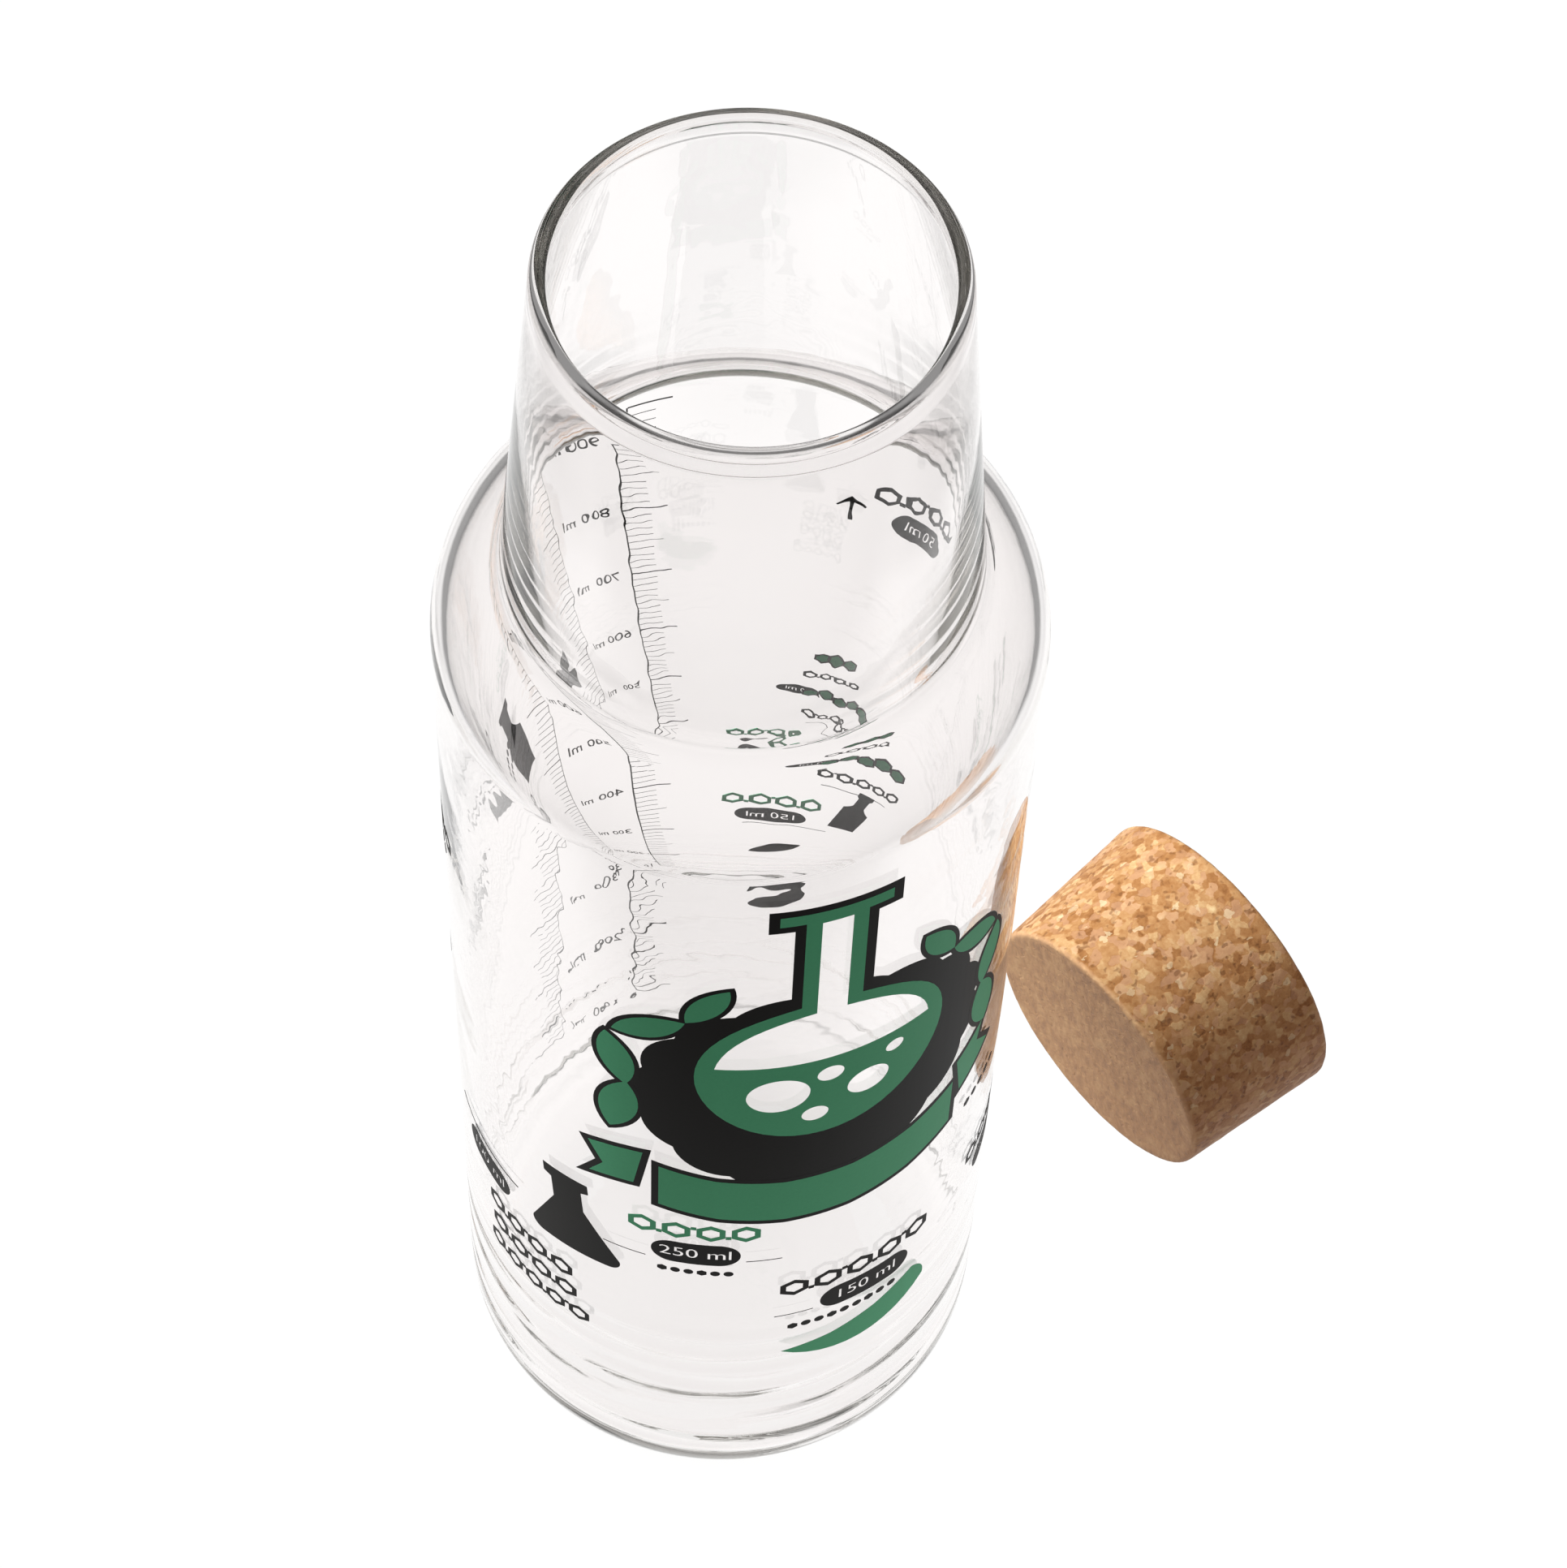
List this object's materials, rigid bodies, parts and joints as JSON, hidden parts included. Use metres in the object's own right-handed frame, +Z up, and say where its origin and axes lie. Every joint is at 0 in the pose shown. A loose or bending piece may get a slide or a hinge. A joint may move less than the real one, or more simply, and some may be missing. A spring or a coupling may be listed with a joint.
{
  "type": "glass bottle with cork stopper",
  "caption": "Clear glass bottle with a wide mouth, conical neck and rounded shoulder, and its tapered cork stopper lying beside it.",
  "frame": {"origin": "centre of the bottle's foot ring, on the table", "axes": "+Z up along the bottle's axis; the stopper lies towards +X and +Y"},
  "size_m": [0.1426, 0.1087, 0.2648],
  "materials": {
    "clear_glass": "gloss",
    "pressed_cork": "matte"
  },
  "bodies": {
    "bottle": {"glass_bottle": "clear_glass"},
    "stopper": {"cork_stopper": "pressed_cork"}
  },
  "joints": [
    {"name": "stopper_swing", "type": "hinge", "parent": "bottle", "child": "stopper", "pos_m": [-0.07462, -0.09947, 0.13362], "axis": [0.7165, -0.6922, 0.0864], "range_deg": [0, 85.8]}
  ]
}
